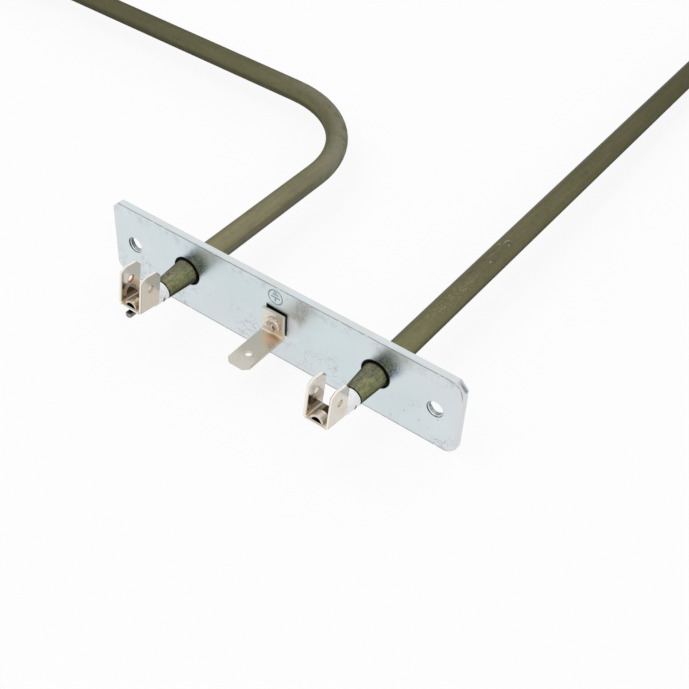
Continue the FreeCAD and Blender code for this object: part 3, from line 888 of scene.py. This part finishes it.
def earthSign(material):
    work = bmesh.new()
    half = sign["line"] / 2
    ring = sign["ringRadius"]
    proud = sign["proud"]
    outline = closedLoop(work, [
        (ring - half, 0, 0), (ring - half * 0.5, -proud, 0),
        (ring + half * 0.5, -proud, 0), (ring + half, 0, 0),
    ])
    bmesh.ops.spin(
        work, geom=outline, cent=(0, 0, 0), axis=(0, 1, 0),
        angle=math.tau, steps=sign["steps"], use_merge=True, use_duplicate=False,
    )
    for height, width in sign["bars"]:
        signBar(work, -width * mm / 2, width * mm / 2, height * mm - half, height * mm + half)
    signBar(work, -half, half, sign["stemEnd"] * mm, sign["bars"][0][0] * mm)
    bmesh.ops.translate(work, verts=work.verts, vec=(sign["x"], 0, sign["z"]))
    placePiece("earth_sign", work, material)


# dark zinc of the earth sign: painted shade, so its proud lines read as a stamped groove
def stampedMaterial():
    material, flow, place = startMaterial("stampedZinc")
    grain = flow.noise(place, 2400.0, 3.0)
    finishMaterial(flow, {
        "Base Color": flow.mixed(grain.rise(0.35, 0.7), sign["dark"], sign["pale"]),
        "Metallic": 1.0,
        "Roughness": 0.35 + grain * 0.2,
        "Normal": flow.bump(grain, 0.3, 0.04 * mm),
    })
    return material


# pale crests, painted shade in the roots, deepest at the upper left, and a painted glare below on the left
def threadMaterial():
    material, flow, place = startMaterial("threadedZinc")
    x, y, z = place.parts()
    grain = flow.noise(place, 1800.0, 3.0)
    colour = flow.mixed(grain.rise(0.35, 0.7), thread["pale"], thread["dull"])
    across = x - (x.over(0.0) * 2.0 - 1.0) * zinc["screwX"]
    radius = (across * across + z * z).root() + (grain - 0.5) * (0.08 * mm)
    shaded = (z - across).rise(0.6 * mm, 2.2 * mm) * y.rise(0.3 * mm, 0.6 * mm)
    root = radius.rise(1.88 * mm, 2.04 * mm)
    colour = flow.mixed(root * 0.62, colour, thread["dark"])
    colour = flow.mixed(shaded * 0.6, colour, thread["shade"])
    glare = 1.0 - (across + 0.6 * mm).size().rise(0.25 * mm, 0.75 * mm)
    glare = glare * (1.0 - z.rise(-1.2 * mm, -0.2 * mm))
    colour = flow.mixed(glare * 0.85, colour, thread["glare"])
    finishMaterial(flow, {
        "Base Color": colour,
        "Metallic": 1.0,
        "Roughness": 0.25 + grain * 0.2,
        "Normal": flow.bump(grain, 0.3, 0.04 * mm),
    })
    return material


# studio: pale floor through the plate's lower edge and the rear run, soft lamps, white surround

studio = {
    "floorHalf": 4.0,
    "frontContact": (0.0010, -0.01082),
    "rearContact": (0.2800, -0.00232),
    "floorTone": rgb(0.97, 0.97, 0.97),
    "white": rgb(1.0, 1.0, 1.0),
    "floorGlow": 0.86,
    "surround": 0.62,
    "lampTarget": (0.0, 0.04, 0.0),
    "lamps": [
        ("keyLamp", (-0.45, -0.30, 1.00), 1.0, 3.4),
        ("fillLamp", (0.75, -0.45, 0.65), 0.8, 1.4),
        ("backLamp", (-0.10, 0.95, 0.75), 0.9, 1.0),
    ],
}


# 1 for what the camera sees, straight, mirrored or through glass, and 0 for the light that falls on things
def seenDirectly(flow):
    path = flow.add("ShaderNodeLightPath").socket.node
    camera, glossy, through = [
        Flow(flow.tree, path.outputs[name])
        for name in ("Is Camera Ray", "Is Glossy Ray", "Is Transmission Ray")
    ]
    return camera.most(glossy).most(through)


def makeFloor():
    work = bmesh.new()
    bmesh.ops.create_grid(work, x_segments=1, y_segments=1, size=studio["floorHalf"])
    nearY, nearZ = studio["frontContact"]
    farY, farZ = studio["rearContact"]
    tilt = math.atan2(farZ - nearZ, farY - nearY)
    bmesh.ops.rotate(work, verts=work.verts, cent=(0, 0, 0), matrix=Matrix.Rotation(tilt, 3, "X"))
    bmesh.ops.translate(work, verts=work.verts, vec=(0, 0, nearZ - nearY * math.tan(tilt)))
    mesh = bpy.data.meshes.new("floor")
    work.to_mesh(mesh)
    work.free()
    material = bpy.data.materials.new("paleFloor")
    flow = emptyTree(material)
    matt = flow.add("ShaderNodeBsdfDiffuse", {}, {"Color": studio["floorTone"]})
    glow = flow.add("ShaderNodeEmission", {}, {"Color": studio["white"], "Strength": 1.0})
    amount = seenDirectly(flow) * studio["floorGlow"]
    shader = flow.add("ShaderNodeMixShader", {}, {0: amount, 1: matt, 2: glow})
    flow.add("ShaderNodeOutputMaterial", {}, {"Surface": shader})
    mesh.materials.append(material)
    floor = addObject("floor", mesh)


def makeWorld():
    world = bpy.data.worlds.new("studioWorld")
    bpy.context.scene.world = world
    flow = emptyTree(world)
    plain = flow.add("ShaderNodeBackground", {}, {"Color": studio["white"], "Strength": 1.0})
    soft = flow.add("ShaderNodeBackground", {}, {"Color": studio["white"], "Strength": studio["surround"]})
    shader = flow.add("ShaderNodeMixShader", {}, {0: seenDirectly(flow), 1: soft, 2: plain})
    flow.add("ShaderNodeOutputWorld", {}, {"Surface": shader})


def makeLamps():
    target = Vector(studio["lampTarget"])
    for name, place, size, power in studio["lamps"]:
        light = bpy.data.lights.new(name, "AREA")
        light.shape = "DISK"
        light.size = size
        light.energy = power
        lamp = addObject(name, light)
        lamp.location = place
        lamp.visible_glossy = False
        lamp.rotation_euler = (target - Vector(place)).to_track_quat("-Z", "Y").to_euler()


# camera, matched to the plate, its holes and the tube

view = {
    "place": (0.129212, -0.164724, 0.193337),
    "azimuth": 33.734, "elevation": 43.619, "roll": 3.743,
    "lens": 65.11, "sensor": 36.0, "clip": (0.005, 20.0),
}


def makeCamera():
    azimuth, elevation, roll = [math.radians(view[k]) for k in ("azimuth", "elevation", "roll")]
    back = Vector((
        math.sin(azimuth) * math.cos(elevation),
        -math.cos(azimuth) * math.cos(elevation),
        math.sin(elevation),
    ))
    right = (-back).cross(Vector((0, 0, 1))).normalized()
    up = right.cross(-back)
    turnedRight = right * math.cos(roll) + up * math.sin(roll)
    turnedUp = up * math.cos(roll) - right * math.sin(roll)
    data = bpy.data.cameras.new("photoCamera")
    data.lens = view["lens"]
    data.sensor_width = view["sensor"]
    data.clip_start, data.clip_end = view["clip"]
    camera = addObject("photoCamera", data)
    turn = Matrix((turnedRight, turnedUp, back)).transposed()
    camera.matrix_world = Matrix.Translation(view["place"]) @ turn.to_4x4()
    bpy.context.scene.camera = camera


dressNodes()
threads = threadMaterial()
threadRidge("thread_left", -zinc["screwX"], threads)
threadRidge("thread_right", zinc["screwX"], threads)
earthSign(stampedMaterial())
print("added pieces made")
makeFloor()
makeWorld()
makeLamps()
makeCamera()
bpy.context.scene.view_settings.view_transform = "Standard"
print("studio and camera set")
